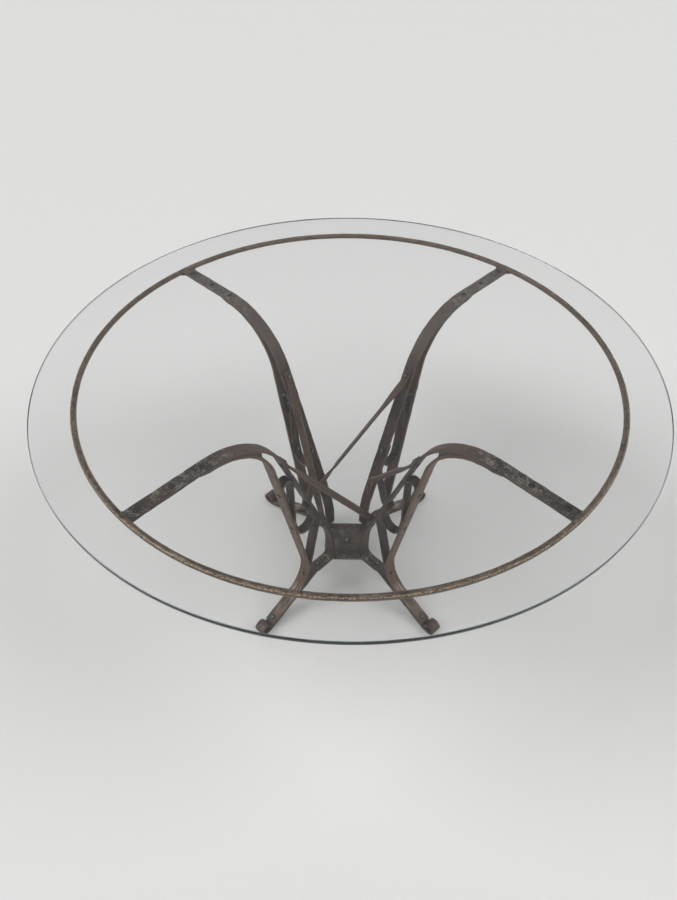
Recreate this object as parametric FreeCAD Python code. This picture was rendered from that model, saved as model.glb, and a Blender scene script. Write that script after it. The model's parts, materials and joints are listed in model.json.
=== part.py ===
import FreeCAD, Part
import math
import os

os.makedirs("parts", exist_ok=True)
V = FreeCAD.Vector

# Sizes are millimetres and degrees. The floor is z = 0, the table's axis is Z, and +Z is up.
# A reach is a distance out from the axis, and a height is measured from the floor.

# Whole table
table_height = 750.0
fit_gap = 0.2            # room round a shank in its hole, and at a butted joint
overrun = 6.0            # how far a cutting tool runs past the face that it cuts

# Where the four hand-set legs stand round the axis, counterclockwise from +X
front_right_angle = -45.2
rear_right_angle = 46.2
rear_left_angle = 136.6
front_left_angle = -132.8

# Glass top, a loose sheet
glass_diameter = 1400.0
glass_thickness = 10.0
glass_arris = 1.2
glass_rest_gap = 0.3

# Round bar ring under the glass
ring_diameter = 1220.0
ring_bar = 15.0
front_weld_leg = 4.0
rear_weld_leg = 9.0

# Flat iron of the leg straps and the outer straps
strap_width = 31.0
strap_thickness = 7.0

# Leg strap: arm, bend, leaning leg, waist, flat on the hub, sloping foot and rolled toe
arm_drop = 2.2           # the arm's middle lies this far below the ring bar's middle
arm_bend = 205.0
shoulder_reach = 278.5   # where the leaning leg would meet the arm
waist_reach = 70.0
waist_straight = 29.0    # upright run between the hub bend and the waist bend
waist_bend = 230.0
hub_height = 90.0
hub_bend = 22.0
instep_reach = 137.0     # where the flat on the hub would meet the sloping foot
instep_bend = 25.0
sole_reach = 323.0       # where the sloping foot would meet the floor flat
sole_bend = 40.0
toe_run = 14.0           # floor flat from there to below the middle of the rolled toe
toe_diameter = 34.0
toe_roll_angle = 285.0

# Sunk plugs in the arm's old holes, an outer and an inner one
plug_inset = 22.0        # from the arm's end
plug_hole = 18.0
plug_sink = 2.0
inner_plug_inset = 102.0
inner_plug_hole = 14.0
inner_plug_sink = 3.0

# Outer strap
lap_run = 24.0           # straight lap under the arm, past the bend
lap_tip = 1.5            # thickness that the scarf leaves at the lap's end
outer_set = 6.0          # its corner under the arm lies this far outside the leg's
knee_set = 17.0          # from the instep out to where the leaning strap would meet its own foot
knee_bend = 100.0
outer_foot_inset = 15.0  # its foot ends this far before the sole

# Wedge in the crotch of the arm and the outer strap
wedge_set = 56.0         # from the start of the bends to the wedge's thin end
wedge_length = 76.0
wedge_gap = 0.4          # room between the wedge and each strap

# S scroll between the two straps
scroll_width = 25.0
scroll_thickness = 6.0
scroll_leg_gap = 1.0     # room between the hook and the leg strap
scroll_hook_run = 52.0
scroll_stem_bend = 120.0
scroll_seat_run = 44.0
scroll_low_bend = 28.0
scroll_low_run = 44.0

# Knee brace
knee_brace_width = 28.0
knee_brace_thickness = 6.0
knee_brace_head = 18.0
knee_brace_drop = 8.0    # from the scroll's low bend down to the brace's own bend
knee_brace_bend = 60.0
knee_brace_paw = 40.0

# Cross brace, a twisted flat bar from one leg to the next
cross_width = 18.0
cross_thickness = 6.0
cross_high_drop = 1.0    # from the arm's bend down to the high paw
cross_low_rise = 5.0     # from the waist's bend up to the low paw
cross_high_paw = 30.0
cross_low_paw = 44.0
twist_place_shares = (0.04, 0.08, 0.12, 0.16, 0.20, 0.24, 0.28, 0.82, 0.87, 0.92, 0.96)
twist_turn_shares = (0.00, 0.07, 0.17, 0.28, 0.38, 0.47, 0.52, 0.54, 0.70, 0.88, 1.00)

# Hub plate
hub_side = 128.0
hub_thickness = 8.0
lug_width = 28.0
lug_inset = 1.0          # the lug stops short of the instep's bend

# Rivets: light ones in the leg frames, heavy ones at hub and foot, one large one in the hub's middle
light_shank = 8.0
light_head = 13.0
light_rise = 3.5
heavy_shank = 9.0
heavy_head = 15.0
heavy_rise = 4.2
centre_shank = 12.0
centre_head = 22.0
centre_rise = 5.5
hub_rivet_inset = 8.0        # from the hub bend
lug_rivet_inset = 7.5        # from the lug's end
foot_rivet_inset = 14.0
lap_rivet_inset = 8.0        # from the start of the bend
hook_rivet_inset = 32.0      # from the hook's free end
low_rivet_inset = 15.0       # from the scroll's low end
curved_seat_gap = 0.3        # lets a flat head clear the hollow side of the knee

# Places worked out from the sizes above
half_strap = strap_thickness / 2
half_scroll = scroll_thickness / 2
half_knee = knee_brace_thickness / 2
half_cross = cross_thickness / 2
glass_bottom = table_height - glass_thickness
ring_radius = ring_diameter / 2
ring_height = glass_bottom - glass_rest_gap - ring_bar / 2
ring_inside = ring_radius - ring_bar / 2
arm_height = ring_height - arm_drop
arm_end = ring_inside - fit_gap
flat_height = hub_height + half_strap
lap_height = arm_height - strap_thickness
knee_reach = instep_reach + knee_set
outer_foot_reach = sole_reach - outer_foot_inset
toe_reach = sole_reach + toe_run
slope_tan = (flat_height - half_strap) / (sole_reach - instep_reach)

light = (light_shank, light_head, light_rise)
heavy = (heavy_shank, heavy_head, heavy_rise)
centre = (centre_shank, centre_head, centre_rise)

leg_angles = {
    "front_right": front_right_angle,
    "rear_right": rear_right_angle,
    "rear_left": rear_left_angle,
    "front_left": front_left_angle,
}
quarter_turn = 90.0
full_turn = 360.0
up = (0.0, 1.0)


# Flat geometry in a leg's own plane: a point is (reach, height)
def shift(p, d, length):
    return (p[0] + d[0] * length, p[1] + d[1] * length)


def toward(a, b):
    length = math.dist(a, b)
    return ((b[0] - a[0]) / length, (b[1] - a[1]) / length)


def left_of(d):
    return (-d[1], d[0])


def polar(c, radius, angle):
    a = math.radians(angle)
    return (c[0] + radius * math.cos(a), c[1] + radius * math.sin(a))


def angle_from(c, p):
    return math.degrees(math.atan2(p[1] - c[1], p[0] - c[0]))


def meet(p, d, q, e):
    cross = d[0] * e[1] - d[1] * e[0]
    along = ((q[0] - p[0]) * e[1] - (q[1] - p[1]) * e[0]) / cross
    return shift(p, d, along)


def touch(p, c, radius):
    """Where a line from p touches a circle, on the circle's inner side."""
    far = math.dist(p, c)
    heading = angle_from(p, c) - math.degrees(math.asin(radius / far))
    return polar(p, math.sqrt(far * far - radius * radius), heading)


def space(p):
    return V(p[0], 0, p[1])


# A strap's middle line is a list of straight runs and round bends
def run(a, b):
    return ("run", a, b)


def bend(c, radius, start, end):
    return ("bend", c, radius, start, end)


def bent_path(points, radii):
    path = []
    here = points[0]
    for corner, following, radius in zip(points[1:], points[2:], radii):
        into = toward(here, corner)
        out = toward(corner, following)
        turn = math.atan2(into[0] * out[1] - into[1] * out[0], into[0] * out[0] + into[1] * out[1])
        tangent = radius * math.tan(abs(turn) / 2)
        start = shift(corner, into, -tangent)
        side = left_of(into) if turn > 0 else tuple(-n for n in left_of(into))
        c = shift(start, side, radius)
        first = angle_from(c, start)
        path.append(run(here, start))
        path.append(bend(c, radius, first, first + math.degrees(turn)))
        here = shift(corner, out, tangent)
    path.append(run(here, points[-1]))
    return path


def side_edge(piece, offset):
    if piece[0] == "run":
        a, b = piece[1:]
        n = left_of(toward(a, b))
        return Part.makeLine(space(shift(a, n, offset)), space(shift(b, n, offset)))
    c, radius, start, end = piece[1:]
    radius = radius - offset if end > start else radius + offset
    places = [space(polar(c, radius, a)) for a in (start, (start + end) / 2, end)]
    return Part.Arc(*places).toShape()


def ends_of(edge):
    return edge.valueAt(edge.FirstParameter), edge.valueAt(edge.LastParameter)


def plate_across(edges, width):
    face = Part.Face(Part.Wire(Part.__sortEdges__(edges)))
    solid = face.extrude(V(0, width, 0))
    solid.translate(V(0, -width / 2, 0))
    return solid


def strap(path, thickness, width):
    left = [side_edge(piece, thickness / 2) for piece in path]
    right = [side_edge(piece, -thickness / 2) for piece in path]
    first_cap = Part.makeLine(ends_of(left[0])[0], ends_of(right[0])[0])
    last_cap = Part.makeLine(ends_of(left[-1])[1], ends_of(right[-1])[1])
    return plate_across(left + right + [first_cap, last_cap], width)


# Rivets and their holes. A joint is (seat of the head, way that the head faces, grip, sizes)
def aim(shape, seat, way):
    turn = FreeCAD.Rotation(V(0, 0, 1), space(way))
    shape.Placement = FreeCAD.Placement(space(seat), turn)
    return shape


def dome(base, rise, level, sign):
    sphere = (base * base / 4 + rise * rise) / (2 * rise)
    half_angle = math.asin(base / 2 / sphere) / 2
    over = sphere * math.cos(half_angle) - (sphere - rise)
    edge = V(base / 2, 0, level)
    middle = V(sphere * math.sin(half_angle), 0, level + sign * over)
    top = V(0, 0, level + sign * rise)
    return Part.Arc(top, middle, edge).toShape()


def rivet(joint):
    seat, way, grip, (shank, head, rise) = joint
    upper = dome(head, rise, 0, 1)
    lower = dome(head, rise, -grip, -1)
    steps = [V(head / 2, 0, 0), V(shank / 2, 0, 0), V(shank / 2, 0, -grip), V(head / 2, 0, -grip)]
    sides = [Part.makeLine(a, b) for a, b in zip(steps, steps[1:])]
    axis = Part.makeLine(V(0, 0, rise), V(0, 0, -grip - rise))
    face = Part.Face(Part.Wire(Part.__sortEdges__([upper, lower, axis] + sides)))
    return aim(face.revolve(V(0, 0, 0), V(0, 0, 1), full_turn), seat, way)


def hole(joint, diameter=None):
    seat, way, grip, sizes = joint
    radius = (diameter or sizes[0] + 2 * fit_gap) / 2
    tool = Part.makeCylinder(radius, grip + 2 * overrun, V(0, 0, -grip - overrun))
    return aim(tool, seat, way)


def turned(shape, angle):
    copy = shape.copy()
    copy.rotate(V(0, 0, 0), V(0, 0, 1), angle)
    return copy


def save(shape, name):
    shape.exportStep("parts/" + name + ".step")


def save_at_each_leg(shape, name):
    for leg, angle in leg_angles.items():
        save(turned(shape, angle), name + "_" + leg)


def save_group(shapes, name):
    save(Part.makeCompound([turned(shape, angle) for angle in leg_angles.values() for shape in shapes]), name)


# Middle lines that the pieces of a leg share. Positive across is away from the axis
# The leaning leg runs from the arm's corner until it touches the waist bend
arm_corner = (shoulder_reach, arm_height)
waist_centre = (waist_reach + waist_bend, flat_height + hub_bend + waist_straight)
waist_top = touch(arm_corner, waist_centre, waist_bend)
leg_up = toward(waist_top, arm_corner)
leg_out = (leg_up[1], -leg_up[0])
lean = math.atan2(*leg_up)
waist_corner = meet(arm_corner, leg_up, (waist_reach, 0), up)
waist_height = waist_corner[1]
slope = math.atan(slope_tan)
foot_down = (math.cos(slope), -math.sin(slope))
foot_up_face = (math.sin(slope), math.cos(slope))


def leg_at(height, across):
    reach = waist_reach + (height - waist_height) * math.tan(lean)
    return shift((reach, height), leg_out, across)


def foot_at(reach, across):
    return shift((reach, half_strap + (sole_reach - reach) * slope_tan), foot_up_face, across)


knee_corner = meet(foot_at(sole_reach, strap_thickness), foot_down, (knee_reach, 0), up)
lap_corner = (shoulder_reach + outer_set, lap_height)
outer_up = toward(knee_corner, lap_corner)
outer_out = (outer_up[1], -outer_up[0])
slant = math.atan2(*outer_up)


def outer_at(height, across):
    reach = knee_corner[0] + (height - knee_corner[1]) * math.tan(slant)
    return shift((reach, height), outer_out, across)


# Leg strap
arm_turn = math.pi / 2 - lean
bend_length = arm_bend * math.tan(arm_turn / 2)
bend_reach = arm_corner[0] + bend_length
bend_foot = shift(arm_corner, leg_up, -bend_length)
lug_reach = instep_reach - instep_bend * math.tan(slope / 2) - lug_inset
toe_centre = (toe_reach, toe_diameter / 2)
leg_points = [
    (arm_end, arm_height),
    arm_corner,
    waist_corner,
    (waist_reach, flat_height),
    (instep_reach, flat_height),
    (sole_reach, half_strap),
    (toe_reach, half_strap),
]
leg_path = bent_path(leg_points, [arm_bend, waist_bend, hub_bend, instep_bend, sole_bend])
leg_path.append(bend(toe_centre, toe_diameter / 2 - half_strap, -quarter_turn, toe_roll_angle - quarter_turn))

# Outer strap: its bend starts where the arm's bend starts, and is tighter
lap_reach = bend_reach + lap_run
outer_turn = math.pi / 2 - slant
outer_bend = (bend_reach - lap_corner[0]) / math.tan(outer_turn / 2)
outer_foot_end = shift(foot_at(outer_foot_reach, 0), foot_up_face, strap_thickness)
outer_points = [(lap_reach, lap_height), lap_corner, knee_corner, outer_foot_end]
outer_path = bent_path(outer_points, [outer_bend, knee_bend])
knee_centre = outer_path[3][1]

# S scroll, tangent to the outer strap at its hook and seat, and to the knee brace at its low end
scroll_seat = half_strap + half_scroll
scroll_stack = half_strap + knee_brace_thickness + half_scroll
low_centre = meet(
    outer_at(waist_height, -scroll_seat - scroll_low_bend), outer_up,
    leg_at(waist_height, scroll_stack + scroll_low_bend), leg_up,
)
seat_low = shift(low_centre, outer_out, scroll_low_bend)
stem_corner = shift(seat_low, outer_up, scroll_seat_run)
low_start = shift(low_centre, leg_out, -scroll_low_bend)


def hook_at(radius):
    return meet(outer_at(waist_height, -scroll_seat - radius), outer_up, (stem_corner[0] + radius, 0), up)


def leg_room(radius):
    c = hook_at(radius)
    foot = leg_at(waist_height, scroll_seat + radius)
    return (c[0] - foot[0]) * leg_out[0] + (c[1] - foot[1]) * leg_out[1]


# The room left beside the leg strap changes evenly with the hook's bend, so two trials give the bend
trial_room = leg_room(0)
room_lost = (trial_room - leg_room(scroll_thickness)) / scroll_thickness
scroll_hook_bend = (trial_room - scroll_leg_gap) / room_lost
hook_centre = hook_at(scroll_hook_bend)
hook_start = shift(hook_centre, outer_out, scroll_hook_bend)
hook_end = shift(hook_start, outer_up, -scroll_hook_run)
stem_top = (hook_centre[0] - scroll_hook_bend, hook_centre[1])
half_turn = full_turn / 2
outer_tilt = math.degrees(slant)
leg_tilt = math.degrees(lean)
scroll_path = [run(hook_end, hook_start), bend(hook_centre, scroll_hook_bend, -outer_tilt, half_turn)]
scroll_path += bent_path([stem_top, stem_corner, seat_low], [scroll_stem_bend])
scroll_path.append(bend(low_centre, scroll_low_bend, -outer_tilt, -half_turn - leg_tilt))
low_end = shift(low_start, leg_up, scroll_low_run)
scroll_path.append(run(low_start, low_end))

# Knee brace, between the leg strap and the scroll's end above, round the outer strap's knee below
knee_seat = half_strap + half_knee
scroll_to_brace = half_scroll + half_knee
brace_rivet = shift(shift(low_end, leg_up, -low_rivet_inset), leg_out, -scroll_to_brace)
brace_top = shift(brace_rivet, leg_up, knee_brace_head)
brace_drop = scroll_low_bend + half_scroll + knee_brace_drop
brace_leave = shift(shift(low_start, leg_up, -brace_drop), leg_out, -scroll_to_brace)
paw_radius = knee_bend + knee_seat
brace_touch = touch(brace_leave, knee_centre, paw_radius)
paw_start = angle_from(knee_centre, brace_touch) % full_turn
paw_sweep = math.degrees(knee_brace_paw / paw_radius)
knee_path = bent_path([brace_top, brace_leave, brace_touch], [knee_brace_bend])
knee_path.append(bend(knee_centre, paw_radius, paw_start, paw_start + paw_sweep))

# Rivet joints in a leg's plane
leg_in = (-leg_out[0], -leg_out[1])
outer_in = (-outer_out[0], -outer_out[1])
arm_top = arm_height + half_strap
lap_rivet_reach = bend_reach + lap_rivet_inset
lap_joint = ((lap_rivet_reach, arm_top), up, 2 * strap_thickness, light)
hub_rivet_reaches = (waist_reach + hub_bend + hub_rivet_inset, lug_reach - lug_rivet_inset)
hub_joints = [
    ((reach, hub_height + strap_thickness), up, strap_thickness + hub_thickness, heavy)
    for reach in hub_rivet_reaches
]
hub_joint = ((0, hub_height), up, hub_thickness, centre)
foot_seat = shift(shift(outer_foot_end, foot_down, -foot_rivet_inset), foot_up_face, half_strap)
foot_joint = (foot_seat, foot_up_face, 2 * strap_thickness, heavy)
hook_middle = shift(hook_end, outer_up, hook_rivet_inset)
frame_grip = strap_thickness + scroll_thickness
hook_joint = (shift(hook_middle, outer_in, half_scroll), outer_in, frame_grip, light)
flush_run = scroll_seat_run - scroll_stem_bend * math.tan(slant / 2)
seat_middle = shift(seat_low, outer_up, flush_run / 2)
seat_joint = (shift(seat_middle, outer_in, half_scroll), outer_in, frame_grip, light)
low_grip = strap_thickness + knee_brace_thickness + scroll_thickness
low_joint = (shift(brace_rivet, leg_in, half_knee + strap_thickness), leg_in, low_grip, light)
paw_angle = paw_start + paw_sweep / 2
knee_way = polar((0, 0), 1, paw_angle)
knee_grip = strap_thickness + knee_brace_thickness + curved_seat_gap
knee_joint = (polar(knee_centre, paw_radius + half_knee, paw_angle), knee_way, knee_grip, light)
cross_grip = strap_thickness + cross_thickness
high_paw = shift(bend_foot, leg_up, -cross_high_drop - cross_high_paw / 2)
low_paw = shift(waist_top, leg_up, cross_low_rise + cross_low_paw / 2)
cross_seat = half_strap + cross_thickness
high_cross_joint = (shift(high_paw, leg_in, cross_seat), leg_in, cross_grip, light)
low_cross_joint = (shift(low_paw, leg_in, cross_seat), leg_in, cross_grip, light)
plugs = ((plug_inset, plug_hole, plug_sink), (inner_plug_inset, inner_plug_hole, inner_plug_sink))


def make_glass():
    sheet = Part.makeCylinder(glass_diameter / 2, glass_thickness, V(0, 0, glass_bottom))
    rims = [e for e in sheet.Edges if e.Closed]
    return sheet.makeChamfer(glass_arris, rims)


def make_ring():
    return Part.makeTorus(ring_radius, ring_bar / 2, V(0, 0, ring_height))


def make_welds(leg):
    size = front_weld_leg if leg.startswith("front") else rear_weld_leg
    bottom = arm_height - half_strap
    edge = strap_width / 2
    corners = [
        V(ring_inside - size, edge, bottom),
        V(ring_radius, edge, bottom),
        V(ring_radius, edge + size, bottom),
        V(ring_inside, edge + size, bottom),
    ]
    fillet = Part.Face(Part.makePolygon(corners + corners[:1])).extrude(V(0, 0, strap_thickness))
    fillet = fillet.cut(make_ring()).Solids[0]
    return [fillet, fillet.mirror(V(0, 0, 0), V(0, 1, 0))]


def make_leg_strap():
    joints = hub_joints + [lap_joint, foot_joint, low_joint, high_cross_joint, low_cross_joint]
    tools = [hole(joint) for joint in joints]
    for inset, bore, sink in plugs:
        tools.append(hole(((arm_end - inset, arm_top), up, strap_thickness, light), bore))
    return strap(leg_path, strap_thickness, strap_width).cut(tools)


def scarf_tool():
    top = lap_height + half_strap
    steep = (lap_tip - strap_thickness) / (lap_reach - bend_reach)
    past = lap_reach + overrun
    deep = top - strap_thickness - overrun
    corners = [
        V(bend_reach, 0, top - strap_thickness),
        V(past, 0, top - strap_thickness - steep * (past - bend_reach)),
        V(past, 0, deep),
        V(bend_reach, 0, deep),
    ]
    edges = [Part.makeLine(a, b) for a, b in zip(corners, corners[1:] + corners[:1])]
    return plate_across(edges, strap_width + 2 * overrun)


def make_outer_strap():
    tools = [hole(joint) for joint in (lap_joint, hook_joint, seat_joint, knee_joint, foot_joint)]
    return strap(outer_path, strap_thickness, strap_width).cut(tools + [scarf_tool()])


def make_lap_rivet():
    bottom = lap_height - half_strap
    whole = rivet((lap_joint[0], up, arm_top - bottom + overrun, light))
    block = Part.makeCylinder(light_head, light_head, V(lap_rivet_reach, 0, bottom - light_head))
    return whole.cut([scarf_tool(), block])


def make_wedge():
    arm_centre = (bend_reach, arm_height - arm_bend)
    strap_centre = (bend_reach, lap_height - outer_bend)
    upper = arm_bend - half_strap - wedge_gap
    lower = outer_bend + half_strap + wedge_gap
    thin_end = bend_reach - wedge_set
    reaches = (thin_end - wedge_length, thin_end - wedge_length / 2, thin_end)

    def on_arc(c, radius, reach):
        return V(reach, 0, c[1] + math.sqrt(radius * radius - (reach - c[0]) ** 2))

    over = [on_arc(arm_centre, upper, reach) for reach in reaches]
    under = [on_arc(strap_centre, lower, reach) for reach in reaches]
    edges = [
        Part.Arc(*over).toShape(),
        Part.Arc(*under).toShape(),
        Part.makeLine(over[0], under[0]),
        Part.makeLine(over[2], under[2]),
    ]
    return plate_across(edges, strap_width)


def make_scroll():
    tools = [hole(joint) for joint in (hook_joint, seat_joint, low_joint)]
    return strap(scroll_path, scroll_thickness, scroll_width).cut(tools)


def make_knee_brace():
    tools = [hole(joint) for joint in (low_joint, knee_joint)]
    return strap(knee_path, knee_brace_thickness, knee_brace_width).cut(tools)


# Cross brace: flat paws on two legs, joined by a bar that turns about its own length
def leg_frame(angle):
    turn = FreeCAD.Rotation(V(0, 0, 1), angle)
    down = turn.multVec(V(-leg_up[0], 0, -leg_up[1]))
    inward = turn.multVec(V(-leg_out[0], 0, -leg_out[1]))
    sideways = turn.multVec(V(0, 1, 0))
    return turn, down, inward, sideways


def mirrored(v, normal):
    return v - normal * (2 * v.dot(normal))


def bar_section(middle, along, sideways, inward, cut):
    corners = []
    for side, face in ((-1, -1), (1, -1), (1, 1), (-1, 1)):
        offset = sideways * (side * cross_width / 2) + inward * (face * half_cross)
        corners.append(middle + offset - along * (offset.dot(cut) / along.dot(cut)))
    return Part.makePolygon(corners + corners[:1])


def turn_to_next(leg):
    names = list(leg_angles)
    following = names[(names.index(leg) + 1) % len(names)]
    return (leg_angles[following] - leg_angles[leg]) % full_turn


def make_cross_brace(step):
    turn_a, down_a, inward_a, side_a = leg_frame(0)
    turn_b, down_b, inward_b, side_b = leg_frame(step)
    middle_a = turn_a.multVec(space(shift(high_paw, leg_in, half_strap + half_cross)))
    middle_b = turn_b.multVec(space(shift(low_paw, leg_in, half_strap + half_cross)))
    top_a = middle_a - down_a * (cross_high_paw / 2)
    low_a = middle_a + down_a * (cross_high_paw / 2)
    top_b = middle_b - down_b * (cross_low_paw / 2)
    low_b = middle_b + down_b * (cross_low_paw / 2)
    span = top_b - low_a
    along = V(span).normalize()
    cut_a = (down_a + along).normalize()
    cut_b = (along + down_b).normalize()
    side_start = mirrored(side_a, cut_a)
    inward_start = mirrored(inward_a, cut_a)
    side_stop = mirrored(side_b, cut_b)
    twist = math.degrees(math.atan2(side_start.cross(side_stop).dot(along), side_start.dot(side_stop)))
    twist = twist % half_turn
    sections = [bar_section(top_a, down_a, side_a, inward_a, down_a)]
    sections.append(bar_section(low_a, down_a, side_a, inward_a, cut_a))
    for place, share in zip(twist_place_shares, twist_turn_shares):
        turn = FreeCAD.Rotation(along, twist * share)
        side = turn.multVec(side_start)
        inward = turn.multVec(inward_start)
        sections.append(bar_section(low_a + span * place, along, side, inward, along))
    turn = FreeCAD.Rotation(along, twist)
    side = mirrored(turn.multVec(side_start), cut_b)
    inward = mirrored(turn.multVec(inward_start), cut_b)
    sections.append(bar_section(top_b, down_b, side, inward, cut_b))
    sections.append(bar_section(low_b, down_b, side, inward, down_b))
    bar = Part.makeLoft(sections, True, True)
    return bar.cut([hole(high_cross_joint), turned(hole(low_cross_joint), step)])


def make_hub_plate():
    bottom = hub_height - hub_thickness
    plate = Part.makeBox(hub_side, hub_side, hub_thickness, V(-hub_side / 2, -hub_side / 2, bottom))
    for angle in leg_angles.values():
        bar = Part.makeBox(lug_reach, lug_width, hub_thickness, V(0, -lug_width / 2, bottom))
        plate = plate.fuse(turned(bar, angle))
    plate = plate.removeSplitter()
    tools = [turned(hole(joint), angle) for joint in hub_joints for angle in leg_angles.values()]
    tools.append(hole(hub_joint))
    return plate.cut(tools)


def make_plug(inset, bore, sink):
    seat = V(arm_end - inset, 0, arm_height - half_strap)
    return Part.makeCylinder(bore / 2 - fit_gap, strap_thickness - sink, seat)


save(make_glass(), "glass_top")
save(make_ring(), "top_ring")
save_at_each_leg(make_leg_strap(), "leg_strap")
save_at_each_leg(make_outer_strap(), "outer_strap")
save_at_each_leg(make_wedge(), "wedge")
save_at_each_leg(make_scroll(), "scroll")
save_at_each_leg(make_knee_brace(), "knee_brace")
for leg, angle in leg_angles.items():
    save(turned(make_cross_brace(turn_to_next(leg)), angle), "cross_brace_" + leg)
save(make_hub_plate(), "hub_plate")
save(rivet(hub_joint), "hub_centre_rivet")
welds = [turned(weld, angle) for leg, angle in leg_angles.items() for weld in make_welds(leg)]
save(Part.makeCompound(welds), "ring_welds")
save_group([make_plug(*plug) for plug in plugs], "arm_plugs")
save_group([make_lap_rivet()], "lap_rivets")
save_group([rivet(joint) for joint in hub_joints], "hub_rivets")
save_group([rivet(foot_joint)], "foot_rivets")
save_group([rivet(hook_joint)], "scroll_hook_rivets")
save_group([rivet(seat_joint)], "scroll_seat_rivets")
save_group([rivet(low_joint)], "scroll_low_rivets")
save_group([rivet(knee_joint)], "knee_rivets")
save_group([rivet(high_cross_joint)], "cross_high_rivets")
save_group([rivet(low_cross_joint)], "cross_low_rivets")
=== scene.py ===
import bpy
import json
import math
import numpy as np
from mathutils import Matrix, Vector


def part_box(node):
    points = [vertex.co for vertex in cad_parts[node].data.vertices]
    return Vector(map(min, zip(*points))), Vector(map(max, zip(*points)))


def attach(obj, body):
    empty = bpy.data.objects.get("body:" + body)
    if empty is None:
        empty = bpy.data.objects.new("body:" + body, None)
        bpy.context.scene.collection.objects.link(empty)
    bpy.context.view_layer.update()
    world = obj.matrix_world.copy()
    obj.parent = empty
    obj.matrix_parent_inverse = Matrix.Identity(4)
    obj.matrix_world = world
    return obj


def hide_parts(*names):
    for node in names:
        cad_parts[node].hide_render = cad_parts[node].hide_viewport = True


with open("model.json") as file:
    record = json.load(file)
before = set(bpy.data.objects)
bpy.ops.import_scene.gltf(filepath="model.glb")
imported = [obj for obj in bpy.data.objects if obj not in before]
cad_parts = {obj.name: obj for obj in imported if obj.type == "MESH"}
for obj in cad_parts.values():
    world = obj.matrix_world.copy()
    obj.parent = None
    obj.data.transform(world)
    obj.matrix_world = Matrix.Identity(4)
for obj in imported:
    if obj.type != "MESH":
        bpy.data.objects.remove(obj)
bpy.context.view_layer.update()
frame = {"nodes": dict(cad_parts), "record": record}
slot_of = {row["node"]: row["material_slot"] for row in frame["record"]["subparts"]}

# Lengths are in metres. Plain colours are linear red, green and blue.
leg_angles = {
    "front_right": math.radians(-45.2),
    "rear_right": math.radians(46.2),
    "rear_left": math.radians(136.6),
    "front_left": math.radians(-132.8),
}
legs = tuple(leg_angles)
x_way, y_way, z_way = Vector((1, 0, 0)), Vector((0, 1, 0)), Vector((0, 0, 1))
merge_gap = 0.00001                 # points nearer than this are joined
sliver = 0.00005                    # scoring leaves no edge shorter than this
hole_edge = 0.0014                  # sharp edges up to this length lie round a hole
hole_margin = 0.004                 # hammer marks fade out over this distance from a hole
flush_angle = math.radians(0.3)     # faces that turn less than this are made one
sharp_angle = math.radians(50)      # edges that turn more than this are rounded over
smooth_angle = math.radians(40)     # edges that turn less than this are shaded smooth
light_spread = math.radians(35)
open_faces = "open_faces"           # the points that the hammer reaches

dark_scale, brown_rust = (0.030, 0.025, 0.022), (0.075, 0.047, 0.035)
strap_scale, tan_rust = (0.050, 0.037, 0.029), (0.120, 0.073, 0.048)
brace_scale, red_rust = (0.045, 0.030, 0.024), (0.098, 0.056, 0.041)
ring_scale, ring_rust = (0.064, 0.045, 0.030), (0.150, 0.099, 0.062)
hub_scale, hub_rust = (0.050, 0.042, 0.037), (0.112, 0.078, 0.061)
# the rivets' scale and rust are kept very dark, a painted shade round their rims
rivet_scale_and_rim_shade, rivet_rust_and_rim_shade = (0.016, 0.013, 0.011), (0.030, 0.020, 0.015)
plug_scale, plug_rust = (0.022, 0.015, 0.011), (0.060, 0.036, 0.025)
# bend red is the bends' own tint; the grey is a painted glare on the rear arms
bend_red, rear_glare_grey = (0.150, 0.088, 0.066), (0.165, 0.126, 0.105)
toe_brown = (0.092, 0.054, 0.042)
foot_brown = (0.052, 0.034, 0.027)
hub_flat_grey = (0.130, 0.112, 0.098)
pit_black = (0.008, 0.006, 0.005)
pale_paint = (0.30, 0.280, 0.245)
# edges and crowns bright from wear, partly a painted highlight
rubbed_highlight_iron = (0.24, 0.205, 0.17)
# metal-bright colour: wear, and partly a painted highlight
bare_iron_highlight = (0.50, 0.44, 0.37)
# painted highlight colour for the glints on the ring
glint_highlight_iron = (0.70, 0.58, 0.44)
white = (1.0, 1.0, 1.0, 1.0)
floor_grey = (0.72, 0.72, 0.71, 1.0)
glass_depth = (0.58, 0.86, 0.88, 1.0)

# Each noise is its scale per metre, detail and roughness
patch_noise = (15.0, 5.0, 0.65)
streak_noise = (190.0, 4.0, 0.6)
ring_streak_noise = (300.0, 4.0, 0.6)
grain_noise = (160.0, 5.0, 0.7)
pit_noise = (380.0, 3.0, 0.6)
paint_field_noise = (45.0, 4.0, 0.6)
paint_spot_noise = (290.0, 4.0, 0.75)


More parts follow.
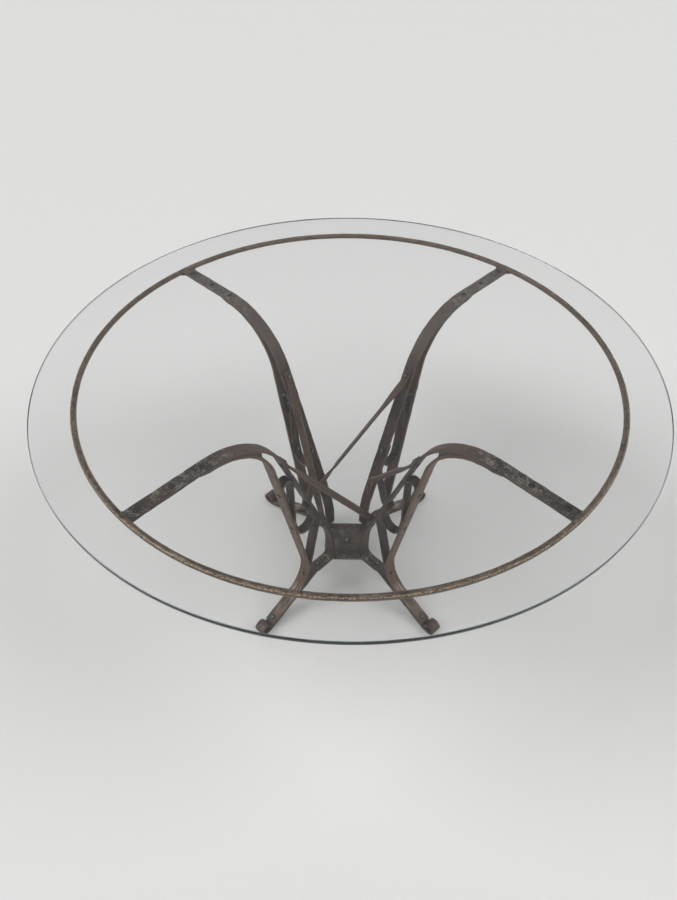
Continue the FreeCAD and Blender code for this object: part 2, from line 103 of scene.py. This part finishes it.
# Finishes
class Nodes:
    """Adds nodes to a tree. What goes into a node is another node's output or a plain value."""

    # A colour mix's sockets by number, because it has others of the same names
    mix_share, mix_under, mix_over, mix_result = 0, 6, 7, 2

    def __init__(self, tree):
        self.tree = tree

    def feed(self, socket, value):
        if isinstance(value, bpy.types.NodeSocket):
            self.tree.links.new(value, socket)
        else:
            socket.default_value = value

    def add(self, kind, inputs=None, **settings):
        node = self.tree.nodes.new(kind)
        for name, value in settings.items():
            setattr(node, name, value)
        for key, value in (inputs or {}).items():
            self.feed(node.inputs[key], value)
        return node

    def calculate(self, operation, *values):
        node = self.add("ShaderNodeMath", dict(enumerate(values)), operation=operation)
        return node.outputs["Value"]

    def times(self, first, *others):
        for other in others:
            first = self.calculate("MULTIPLY", first, other)
        return first

    def plus(self, one, other):
        return self.calculate("ADD", one, other)

    def larger(self, one, other):
        return self.calculate("MAXIMUM", one, other)

    def vector(self, operation, *values):
        node = self.add("ShaderNodeVectorMath", dict(enumerate(values)), operation=operation)
        return node.outputs

    def split(self, vector):
        return self.add("ShaderNodeSeparateXYZ", {"Vector": vector}).outputs

    def join(self, x, y, z):
        return self.add("ShaderNodeCombineXYZ", {"X": x, "Y": y, "Z": z}).outputs["Vector"]

    def noise(self, place, scale, detail, roughness):
        inputs = {"Vector": place, "Scale": scale, "Detail": detail, "Roughness": roughness}
        return self.add("ShaderNodeTexNoise", inputs).outputs["Fac"]

    def ramp(self, value, start, full):
        """0 at the start, 1 where it is full, smooth between; the start may be the larger one."""
        inputs = {"Value": value, "From Min": start, "From Max": full}
        node = self.add("ShaderNodeMapRange", inputs, interpolation_type="SMOOTHSTEP")
        return node.outputs["Result"]

    def tint(self, share, under, over):
        """Lays a share of one colour over another."""
        inputs = {self.mix_share: share}
        for key, colour in ((self.mix_under, under), (self.mix_over, over)):
            plain = isinstance(colour, tuple)
            inputs[key] = (*colour, 1.0) if plain else colour
        return self.add("ShaderNodeMix", inputs, data_type="RGBA").outputs[self.mix_result]


class Finish(Nodes):
    """A material, its nodes, and its shader's inputs."""

    def __init__(self, name):
        self.material = bpy.data.materials.new(name)
        self.material.use_nodes = True
        super().__init__(self.material.node_tree)
        self.shader = self.tree.nodes["Principled BSDF"].inputs


class OldIron(Finish):
    """Old waxed iron: dark scale and brown rust in patches, pits, and edges bright from wear,
    partly a painted highlight.

    The form is bar, leg_strap, outer_strap, ring, rivet or block. It says which way the streaks
    run, and what the finish shows that other iron doesn't.
    """

    def __init__(self, name, scale, rust, rust_share, pitted, flecked=0.0, form="bar"):
        super().__init__(name)
        self.form = form
        self.find_places()
        self.make_noises()
        self.lay_rust(scale, rust, rust_share)
        if form == "leg_strap":
            self.tint_leg_strap()
        if form == "outer_strap":
            self.tint_foot_end()
        self.lay_grain(rust)
        self.lay_pits(pitted)
        if flecked:
            self.lay_flecks(flecked)
        self.rub_and_highlight_edges()
        if form in ("leg_strap", "outer_strap", "ring"):
            self.rub_bare_and_paint_highlights()
        if form == "ring":
            self.paint_glint_highlights()
        self.feed_shader()

    def lay(self, colour, *masks, share):
        """Lays a share of a colour over the finish where all the masks are open."""
        self.colour = self.tint(self.times(*masks, share), self.colour, colour)

    def find_places(self):
        """Reach from the table's axis, height, which way faces look, and the streaks' lines."""
        self.place = self.add("ShaderNodeTexCoord").outputs["Object"]
        self.normal = self.add("ShaderNodeNewGeometry").outputs["Normal"]
        self.faces_up = self.split(self.normal)["Z"]
        self.x, self.y, self.height = self.split(self.place)
        self.from_axis = self.vector("MULTIPLY", self.place, (1.0, 1.0, 0.0))["Vector"]
        self.reach = self.vector("LENGTH", self.from_axis)["Value"]
        if self.form == "ring":
            self.lines = self.lines_round_ring()
        elif self.form in ("rivet", "block"):
            self.lines = self.place
        else:
            self.lines = self.lines_along_legs()

    def lines_along_legs(self):
        """Places squeezed lengthwise on every leg's straps, so that streaks run along them."""
        squeeze = 0.12
        quarter_turns = self.times(self.calculate("ARCTAN2", self.y, self.x), 2.0 / math.pi)
        from_leg = self.calculate("SUBTRACT", self.calculate("FRACT", quarter_turns), 0.5)
        across = self.times(from_leg, math.pi / 2, self.reach)
        return self.join(self.times(self.reach, squeeze), across, self.times(self.height, squeeze))

    def lines_round_ring(self):
        """Places squeezed round the ring, so that streaks run along its bar."""
        squeeze = 0.2
        turn = self.calculate("ARCTAN2", self.x, self.times(self.y, -1.0))
        return self.join(self.times(turn, squeeze), self.reach, self.height)

    def make_noises(self):
        streaks = ring_streak_noise if self.form == "ring" else streak_noise
        self.patches = self.noise(self.place, *patch_noise)
        self.streaks = self.noise(self.lines, *streaks)
        self.grain = self.noise(self.place, *grain_noise)
        self.pits = self.noise(self.place, *pit_noise)

    def lay_rust(self, scale, rust, rust_share):
        """Rust where the blotches rise past a level, which falls as the share of rust grows."""
        patch_weight, streak_weight, soft_edge = 0.65, 0.35, 0.06
        highest, fall = 0.62, 0.24
        level = highest - fall * rust_share
        blotches = self.plus(self.times(self.patches, patch_weight),
                             self.times(self.streaks, streak_weight))
        rusty = self.ramp(blotches, level - soft_edge, level + soft_edge)
        self.colour = self.tint(rusty, scale, rust)

    def tint_leg_strap(self):
        """The front bends are redder, the rear arms paler grey as a painted glare from the glass
        over them, toes brown and hub flats grey.
        """
        # painted glare: the rear arms lightened grey, as the glass above them would reflect the
        # bright backdrop
        rear = self.ramp(self.y, -0.05, 0.05)
        bend_and_rear_glare = self.larger(self.ramp(self.reach, 0.42, 0.36), rear)
        high_up = self.ramp(self.height, 0.58, 0.68)
        bend_red_and_glare_grey = self.tint(rear, bend_red, rear_glare_grey)
        self.lay(bend_red_and_glare_grey, bend_and_rear_glare, high_up, share=0.7)
        toe_end = self.ramp(self.reach, 0.322, 0.332)
        near_floor = self.ramp(self.height, 0.06, 0.04)
        self.lay(toe_brown, toe_end, near_floor, share=0.65)
        past_waist = self.ramp(self.reach, 0.078, 0.095)
        before_foot = self.ramp(self.reach, 0.20, 0.15)
        upper_face = self.ramp(self.faces_up, 0.5, 0.85)
        self.lay(hub_flat_grey, past_waist, before_foot, upper_face, share=0.6)

    def tint_foot_end(self):
        near_floor = self.ramp(self.height, 0.085, 0.050)
        self.lay(foot_brown, near_floor, share=0.6)

    def lay_grain(self, rust):
        """Lighter rust in the grain and along the streaks."""
        light_rust = tuple(2.0 * part for part in rust)
        self.lay(light_rust, self.ramp(self.grain, 0.5, 0.7), share=0.5)
        self.lay(light_rust, self.ramp(self.streaks, 0.54, 0.7), share=0.4)

    def lay_pits(self, share):
        hollow = self.ramp(self.pits, 0.47, 0.37)
        self.lay(pit_black, hollow, share=share)

    def lay_flecks(self, share):
        """Flecks of pale paint on upper faces, thickest along the middle of the arms."""
        field_weight, spot_weight, thicker = 0.4, 0.6, 0.035
        field = self.noise(self.place, *paint_field_noise)
        spots = self.noise(self.place, *paint_spot_noise)
        paint = self.plus(self.times(field, field_weight), self.times(spots, spot_weight))
        masks = []
        if self.form == "leg_strap":
            mid_arm = self.times(self.ramp(self.reach, 0.345, 0.395),
                                 self.ramp(self.reach, 0.56, 0.50))
            paint = self.plus(paint, self.times(mid_arm, thicker))
            past_bend = self.ramp(self.reach, 0.325, 0.37)
            masks.append(past_bend)
        upper_face = self.ramp(self.faces_up, 0.3, 0.7)
        self.lay(pale_paint, self.ramp(paint, 0.525, 0.595), *masks, upper_face, share=share)

    def rub_and_highlight_edges(self):
        """Iron made bright where the piece's own attribute says so, broken up by the grain: wear,
        and partly a painted highlight; on rivets the dark left round the crown is a painted shade.
        """
        worn_gloss = 0.6
        wear_and_light = self.add("ShaderNodeAttribute", attribute_name="wear_and_light").outputs["Fac"]
        if self.form == "rivet":
            worn_and_highlit = self.ramp(self.plus(wear_and_light, self.times(self.grain, 0.5)), 0.55, 0.95)
            share = 0.95
        else:
            worn_and_highlit = self.ramp(self.plus(self.times(wear_and_light, 0.55), self.grain), 0.86, 1.16)
            share = 0.75
        # painted highlight, partly wear: bright colour on edges and crowns
        self.lay(rubbed_highlight_iron, worn_and_highlit, share=share)
        self.gloss = self.times(worn_and_highlit, worn_gloss)

    def rub_bare_and_paint_highlights(self):
        """Upper faces taken through to the metal by wear, and partly a painted highlight, set
        where highlights fall: at the hub's bend, on the foot and round the ring.
        """
        if self.form == "leg_strap":
            past_waist = self.ramp(self.reach, 0.080, 0.090)
            near_hub_bend = self.ramp(self.reach, 0.115, 0.095)
            where, strength, broken_by = (past_waist, near_hub_bend), 0.7, self.grain
        elif self.form == "outer_strap":
            below_knee = self.ramp(self.height, 0.108, 0.085)
            above_foot_end = self.ramp(self.height, 0.020, 0.065)
            where, strength, broken_by = (below_knee, above_foot_end), 0.75, self.streaks
        else:
            in_patches = self.ramp(self.patches, 0.36, 0.54)
            where, strength, broken_by = (in_patches,), 0.35, self.streaks
            least_gloss = 0.4
            self.gloss = self.larger(self.gloss, least_gloss)
        upper_face = self.ramp(self.faces_up, 0.55, 0.9)
        # painted highlight: the metal-bright colour laid here is partly wear, partly a highlight
        # painted on
        bare_and_highlight = self.times(*where, strength, upper_face, self.ramp(broken_by, 0.44, 0.62))
        self.lay(bare_iron_highlight, bare_and_highlight, share=0.85)
        self.gloss = self.larger(self.gloss, bare_and_highlight)

    def paint_glint_highlights(self):
        """A painted highlight: fine bright glints along the outer shoulder of the ring's bar,
        where a highlight falls.
        """
        shoulder_out, shoulder_up = 0.72, 0.69
        outward = self.vector("NORMALIZE", self.from_axis)["Vector"]
        faces_out = self.vector("DOT_PRODUCT", self.normal, outward)["Value"]
        faces_shoulder = self.plus(self.times(faces_out, shoulder_out),
                                   self.times(self.faces_up, shoulder_up))
        # painted highlight on the ring's outer shoulder
        glint = self.times(self.ramp(faces_shoulder, 0.955, 0.998),
                           self.ramp(self.pits, 0.46, 0.60))
        self.lay(glint_highlight_iron, glint, share=0.9)
        self.gloss = self.larger(self.gloss, glint)

    def feed_shader(self):
        smoothest, roughest = (0.22, 0.48) if self.form == "ring" else (0.36, 0.66)
        dullness = self.add("ShaderNodeMapRange", {
            "Value": self.grain, "From Min": 0.3, "From Max": 0.7,
            "To Min": smoothest, "To Max": roughest})
        grain_height = 0.7
        out_of_pits = self.ramp(self.pits, 0.34, 0.5)
        relief = self.plus(self.times(self.grain, grain_height), out_of_pits)
        bump = self.add("ShaderNodeBump", {"Strength": 0.7, "Distance": 0.0014, "Height": relief})
        self.feed(self.shader["Base Color"], self.colour)
        self.feed(self.shader["Metallic"], self.gloss)
        self.feed(self.shader["Roughness"], dullness.outputs["Result"])
        self.feed(self.shader["Normal"], bump.outputs["Normal"])


class ClearGlass(Finish):
    """Clear glass, a little green-blue through its depth."""

    def __init__(self, name):
        super().__init__(name)
        self.feed(self.shader["Base Color"], white)
        self.feed(self.shader["Roughness"], 0.0)
        self.feed(self.shader["IOR"], 1.5)
        self.feed(self.shader["Transmission Weight"], 1.0)
        depth = self.add("ShaderNodeVolumeAbsorption", {"Color": glass_depth, "Density": 1.6})
        output = self.tree.nodes["Material Output"].inputs
        self.feed(output["Volume"], depth.outputs["Volume"])


finishes = {
    "leg_strap": OldIron("pitted_leg_iron", dark_scale, brown_rust, rust_share=0.45,
                         pitted=0.55, flecked=0.95, form="leg_strap"),
    "outer_strap": OldIron("brown_strap_iron", strap_scale, tan_rust, rust_share=0.75,
                           pitted=0.35, form="outer_strap"),
    "wedge": OldIron("dark_wedge_iron", dark_scale, brown_rust, rust_share=0.3, pitted=0.6),
    "scroll": OldIron("dark_scroll_iron", dark_scale, brown_rust, rust_share=0.35, pitted=0.6),
    "knee_brace": OldIron("dark_brace_iron", dark_scale, brown_rust, rust_share=0.4, pitted=0.6),
    "cross_brace": OldIron("red_brown_brace_iron", brace_scale, red_rust, rust_share=0.75,
                           pitted=0.5),
    "top_ring": OldIron("ring_bar_iron", ring_scale, ring_rust, rust_share=0.75, pitted=0.4,
                        form="ring"),
    "hub_plate": OldIron("pitted_hub_iron", hub_scale, hub_rust, rust_share=0.55, pitted=0.6,
                         flecked=0.6, form="block"),
    # rivets: painted shade at the rims, painted highlight on the crowns
    "rivet": OldIron("rivet_iron_with_painted_light", rivet_scale_and_rim_shade, rivet_rust_and_rim_shade, rust_share=0.3, pitted=0.6,
                     form="rivet"),
    "plug": OldIron("rusty_plug_iron", plug_scale, plug_rust, rust_share=0.5, pitted=0.6,
                    form="block"),
    "weld": OldIron("weld_iron", dark_scale, brown_rust, rust_share=0.45, pitted=0.6,
                    form="block"),
    "glass": ClearGlass("clear_glass"),
}


# Pieces
def add_object(name, data):
    thing = bpy.data.objects.new(name, data)
    bpy.context.scene.collection.objects.link(thing)
    return thing


def pick(piece):
    bpy.ops.object.select_all(action="DESELECT")
    piece.select_set(True)
    bpy.context.view_layer.objects.active = piece


def apply_modifier(piece, name, kind, **settings):
    modifier = piece.modifiers.new(name, kind)
    for setting, value in settings.items():
        setattr(modifier, setting, value)
    bpy.ops.object.modifier_apply(modifier=modifier.name)


def start_from(primitive, name, **sizes):
    """Adds a primitive at its size and place, and keeps the place in its mesh."""
    bpy.ops.object.select_all(action="DESELECT")
    primitive(**sizes)
    piece = bpy.context.object
    piece.name = name
    bpy.ops.object.transform_apply()
    return piece


def copy_of(node, name):
    """A copy of a CAD node, with its loose triangles joined."""
    piece = add_object(name, frame["nodes"][node].data.copy())
    pick(piece)
    bpy.ops.object.mode_set(mode="EDIT")
    bpy.ops.mesh.select_all(action="SELECT")
    bpy.ops.mesh.remove_doubles(threshold=merge_gap)
    bpy.ops.mesh.normals_make_consistent(inside=False)
    bpy.ops.object.mode_set(mode="OBJECT")
    piece.data.materials.clear()
    return piece


def is_outer_corner(mesh, edge, one, other):
    """Whether two faces meet in an outer corner, told by how the first one is wound."""
    start, end = edge.vertices
    corners = list(one.vertices)
    forward = corners[(corners.index(start) + 1) % len(corners)] == end
    run = mesh.vertices[end].co - mesh.vertices[start].co
    return (one.normal.cross(other.normal).dot(run) > 0) == forward


def soften_edges(piece, width):
    """Rounds over the sharp outer edges. Returns the points round holes, which stay crisp."""
    bpy.ops.object.mode_set(mode="EDIT")
    bpy.ops.mesh.select_all(action="SELECT")
    bpy.ops.mesh.dissolve_limited(angle_limit=flush_angle)
    bpy.ops.mesh.select_all(action="DESELECT")
    bpy.ops.mesh.select_mode(type="EDGE")
    bpy.ops.mesh.edges_select_sharp(sharpness=sharp_angle)
    bpy.ops.object.mode_set(mode="OBJECT")
    mesh = piece.data
    sides = {}
    for face in mesh.polygons:
        for key in face.edge_keys:
            sides.setdefault(key, []).append(face)
    weights = mesh.attributes.new("bevel_weight_edge", "FLOAT", "EDGE")
    rims = []
    for edge in mesh.edges:
        if not edge.select:
            continue
        start, end = (mesh.vertices[i].co for i in edge.vertices)
        if (end - start).length <= hole_edge:
            rims += [start.copy(), end.copy()]
        elif is_outer_corner(mesh, edge, *sides[edge.key]):
            weights.data[edge.index].value = 1.0
    apply_modifier(piece, "soft_edges", "BEVEL", width=width, segments=2,
                   limit_method="WEIGHT", use_clamp_overlap=False)
    return rims


def score(piece, pitch, *ways):
    """Cuts even lines across a piece along each way, so that it can take the hammer marks."""
    bpy.ops.object.mode_set(mode="EDIT")
    for way in ways:
        places = [vertex.co.dot(way) for vertex in piece.data.vertices]
        low, high = min(places), max(places)
        count = math.ceil((high - low) / pitch)
        for line in range(1, count):
            cut = way * (low + (high - low) * line / count)
            bpy.ops.mesh.select_all(action="SELECT")
            bpy.ops.mesh.bisect(plane_co=cut, plane_no=way)
    bpy.ops.mesh.select_all(action="SELECT")
    bpy.ops.mesh.quads_convert_to_tris(quad_method="BEAUTY", ngon_method="BEAUTY")
    bpy.ops.mesh.dissolve_degenerate(threshold=sliver)
    bpy.ops.object.mode_set(mode="OBJECT")


def spare_holes(piece, rims):
    """Lets the hammer marks fade out towards the holes."""
    rims = np.array(rims)
    blows = piece.vertex_groups.new(name=open_faces)
    for vertex in piece.data.vertices:
        gap = np.linalg.norm(rims - np.array(vertex.co), axis=1).min()
        blows.add([vertex.index], min(1.0, gap / hole_margin), "REPLACE")


def prepare(node, name, ways, edge, pitch):
    """A copy of a CAD node with soft edges, scored along the ways and ready for the hammer."""
    piece = copy_of(node, name)
    rims = soften_edges(piece, edge)
    score(piece, pitch, *ways)
    if rims:
        spare_holes(piece, rims)
    return piece


def hammer(piece, name, blow, depth, middle=0.5):
    """Marks of one size all over a piece; with the middle at 1 they only go in."""
    marks = bpy.data.textures.new(name, "CLOUDS")
    marks.noise_scale = blow
    settings = {"texture": marks, "texture_coords": "LOCAL", "strength": depth,
                "mid_level": middle}
    if open_faces in piece.vertex_groups:
        settings["vertex_group"] = open_faces
    apply_modifier(piece, name, "DISPLACE", **settings)


def read(rows, name, kind, width=1):
    """One property of all of a mesh's points, edges, corners or faces."""
    values = np.empty(len(rows) * width, kind)
    rows.foreach_get(name, values)
    return values.reshape(-1, width) if width > 1 else values


def store_wear_and_light(mesh, values):
    layer = mesh.attributes.new("wear_and_light", "FLOAT", "POINT")
    layer.data.foreach_set("value", values)


def mark_worn_highlit_edges(piece):
    """Stores how sharply the faces turn at each point, for the bright edges, which are wear and
    partly a painted highlight.
    """
    least_turn, turn_range = 0.008, 0.06
    mesh = piece.data
    corners = read(mesh.loops, "vertex_index", np.int32)
    corner_counts = read(mesh.polygons, "loop_total", np.int32)
    face_ways = read(mesh.polygon_normals, "vector", np.float32, 3)
    point_ways = read(mesh.vertex_normals, "vector", np.float32, 3)
    face_ways = np.repeat(face_ways, corner_counts, axis=0)
    turn = 1 - (face_ways * point_ways[corners]).sum(1)
    sharpest = np.zeros(len(mesh.vertices), np.float32)
    np.maximum.at(sharpest, corners, turn)
    store_wear_and_light(mesh, np.clip((sharpest - least_turn) / turn_range, 0, 1))


def rivet_of_each_point(mesh):
    """Tells the rivets in one mesh apart, by the lowest point number that each holds."""
    one, other = read(mesh.edges, "vertices", np.int32, 2).T
    owner = np.arange(len(mesh.vertices))
    before = None
    while before is None or (before != owner).any():
        before = owner.copy()
        np.minimum.at(owner, one, owner[other])
        np.minimum.at(owner, other, owner[one])
    return owner


def mark_crown_highlights_and_rim_shade(piece):
    """Stores how near each point lies to its own rivet's axis: bright crowns, from wear and partly
    a painted highlight, and dark rims, a painted shade.
    """
    at_axis, fall = 1.25, 1.5
    mesh = piece.data
    points = read(mesh.vertices, "co", np.float32, 3)
    owner = rivet_of_each_point(mesh)
    wear_and_light = np.zeros(len(points), np.float32)
    for rivet in np.unique(owner):
        mine = owner == rivet
        offsets = points[mine] - points[mine].mean(0)
        spread, ways = np.linalg.eigh(np.cov(offsets.T))
        is_long = spread[2] - spread[1] > spread[1] - spread[0]
        axis = ways[:, 2] if is_long else ways[:, 0]
        along = offsets @ axis
        out = np.linalg.norm(offsets - np.outer(along, axis), axis=1)
        wear_and_light[mine] = np.clip(at_axis - fall * out / out.max(), 0, 1)
    store_wear_and_light(mesh, wear_and_light)


def place_piece(piece, finish, body, node):
    pick(piece)
    bpy.ops.object.shade_smooth_by_angle(angle=smooth_angle)
    piece.data.materials.append(finishes[finish].material)
    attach(piece, body)
    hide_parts(node)


def forge(piece, finish, node, blow, depth):
    """Hammers an iron piece, marks its bright edges, wear and partly a painted highlight, and sets
    it in place.
    """
    hammer(piece, "blows", blow, depth)
    piece.vertex_groups.clear()
    mark_worn_highlit_edges(piece)
    place_piece(piece, finish, "base", node)


def forge_at_each_leg(kind, edge, pitch, blow, depth):
    """Models the piece of one leg, and sets a copy with its own hammer marks at every leg."""
    first = legs[0]
    outward = Matrix.Rotation(leg_angles[first], 3, "Z") @ x_way
    across = Vector((-outward.y, outward.x, 0))
    model = prepare(kind + "_" + first, "model", (across, outward, z_way), edge, pitch)
    for leg in legs:
        node = kind + "_" + leg
        piece = add_object("forged_" + node, model.data.copy())
        piece.data.transform(Matrix.Rotation(leg_angles[leg] - leg_angles[first], 4, "Z"))
        pick(piece)
        forge(piece, kind, node, blow, depth)
    bpy.data.objects.remove(model)


def glass_sheet():
    low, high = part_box("glass_top")
    piece = start_from(
        bpy.ops.mesh.primitive_cylinder_add, "polished_glass", vertices=256,
        radius=(high.x - low.x) / 2, depth=high.z - low.z, location=(0, 0, (low.z + high.z) / 2))
    apply_modifier(piece, "arris", "BEVEL", width=0.0012, segments=3, limit_method="ANGLE")
    place_piece(piece, "glass", "glass", "glass_top")
    level = 0.999
    for face in piece.data.polygons:
        face.use_smooth = abs(face.normal.z) < level


def bar_ring():
    low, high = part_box("top_ring")
    bar_radius = (high.z - low.z) / 2
    piece = start_from(
        bpy.ops.mesh.primitive_torus_add, "hammered_ring", major_segments=256, minor_segments=20,
        major_radius=(high.x - low.x) / 2 - bar_radius, minor_radius=bar_radius,
        location=(0, 0, (low.z + high.z) / 2))
    apply_modifier(piece, "finer", "SUBSURF", levels=1, render_levels=1)
    hammer(piece, "blows", blow=0.03, depth=0.0008, middle=1.0)
    hammer(piece, "scale_pits", blow=0.006, depth=0.0006, middle=1.0)
    place_piece(piece, "top_ring", "base", "top_ring")


def cross_braces():
    for leg in legs:
        node = "cross_brace_" + leg
        piece = prepare(node, "forged_" + node, (x_way, y_way, z_way), edge=0.0004, pitch=0.012)
        forge(piece, "cross_brace", node, blow=0.02, depth=0.0010)


def hub_plate():
    piece = prepare("hub_plate", "forged_hub_plate", (x_way, y_way), edge=0.0012, pitch=0.008)
    forge(piece, "hub_plate", "hub_plate", blow=0.02, depth=0.0008)


def ring_welds():
    piece = copy_of("ring_welds", "run_welds")
    apply_modifier(piece, "even_grid", "REMESH", mode="VOXEL", voxel_size=0.0011)
    apply_modifier(piece, "soft_edges", "SMOOTH", factor=0.5, iterations=14)
    forge(piece, "weld", "ring_welds", blow=0.007, depth=0.0010)


def rivets(node):
    """Hammered rivets with bright crowns, partly a painted highlight, and rims left dark as a
    painted shade. Only the lap rivets are dull, as the plugs are.
    """
    piece = copy_of(node, "hammered_" + node)
    hammer(piece, "blows", blow=0.005, depth=0.0007)
    if node == "lap_rivets":
        place_piece(piece, "plug", "base", node)
        return
    mark_crown_highlights_and_rim_shade(piece)
    place_piece(piece, "rivet", "base", node)


def arm_plugs():
    piece = copy_of("arm_plugs", "sunk_plugs")
    soften_edges(piece, width=0.0006)
    hammer(piece, "blows", blow=0.005, depth=0.0004)
    place_piece(piece, "plug", "base", "arm_plugs")


glass_sheet()
bar_ring()
forge_at_each_leg("leg_strap", edge=0.0012, pitch=0.009, blow=0.022, depth=0.0020)
forge_at_each_leg("outer_strap", edge=0.0007, pitch=0.009, blow=0.022, depth=0.0018)
forge_at_each_leg("scroll", edge=0.0010, pitch=0.008, blow=0.02, depth=0.0014)
forge_at_each_leg("knee_brace", edge=0.0010, pitch=0.008, blow=0.02, depth=0.0014)
forge_at_each_leg("wedge", edge=0.0003, pitch=0.008, blow=0.02, depth=0.0006)
cross_braces()
hub_plate()
ring_welds()
for node in slot_of:
    if node.endswith(("_rivets", "_rivet")):
        rivets(node)
arm_plugs()


# Floor, light and camera
def pale_floor():
    floor = start_from(bpy.ops.mesh.primitive_plane_add, "studio_floor", size=300)
    finish = Finish("pale_floor")
    finish.feed(finish.shader["Base Color"], floor_grey)
    finish.feed(finish.shader["Roughness"], 0.7)
    floor.data.materials.append(finish.material)


def studio_air():
    """White air all round, bright low down and dimmer overhead."""
    overhead, more_low_down = 0.26, 0.48
    world = bpy.data.worlds.new("studio_air")
    world.use_nodes = True
    air = Nodes(world.node_tree)
    way = air.add("ShaderNodeTexCoord").outputs["Generated"]
    low_down = air.ramp(air.split(way)["Z"], 0.44, 0.02)
    background = air.tree.nodes["Background"].inputs
    air.feed(background["Color"], white)
    air.feed(background["Strength"], air.plus(air.times(low_down, more_low_down), overhead))
    bpy.context.scene.world = world


def soft_light(name, place, strength):
    lamp = bpy.data.lights.new(name, "SUN")
    lamp.angle = light_spread
    lamp.energy = strength
    holder = add_object(name, lamp)
    holder.location = place
    holder.rotation_euler = (-holder.location).to_track_quat("-Z", "Y").to_euler()


def photo_camera():
    lens = bpy.data.cameras.new("photo_camera")
    lens.sensor_fit = "AUTO"
    lens.sensor_width = 36.0
    lens.lens = 27.894
    holder = add_object("photo_camera", lens)
    holder.location = (-0.006, -1.2556, 1.7389)
    holder.rotation_euler = (math.radians(44.73), 0.0, math.radians(0.845))
    bpy.context.scene.camera = holder


pale_floor()
studio_air()
soft_light("left_light", (-4.4, -0.8, 5.2), 1.4)
soft_light("right_light", (4.4, -0.8, 5.2), 1.0)
soft_light("front_light", (-0.6, -3.0, 5.2), 0.6)
photo_camera()
bpy.context.scene.view_settings.view_transform = "Standard"
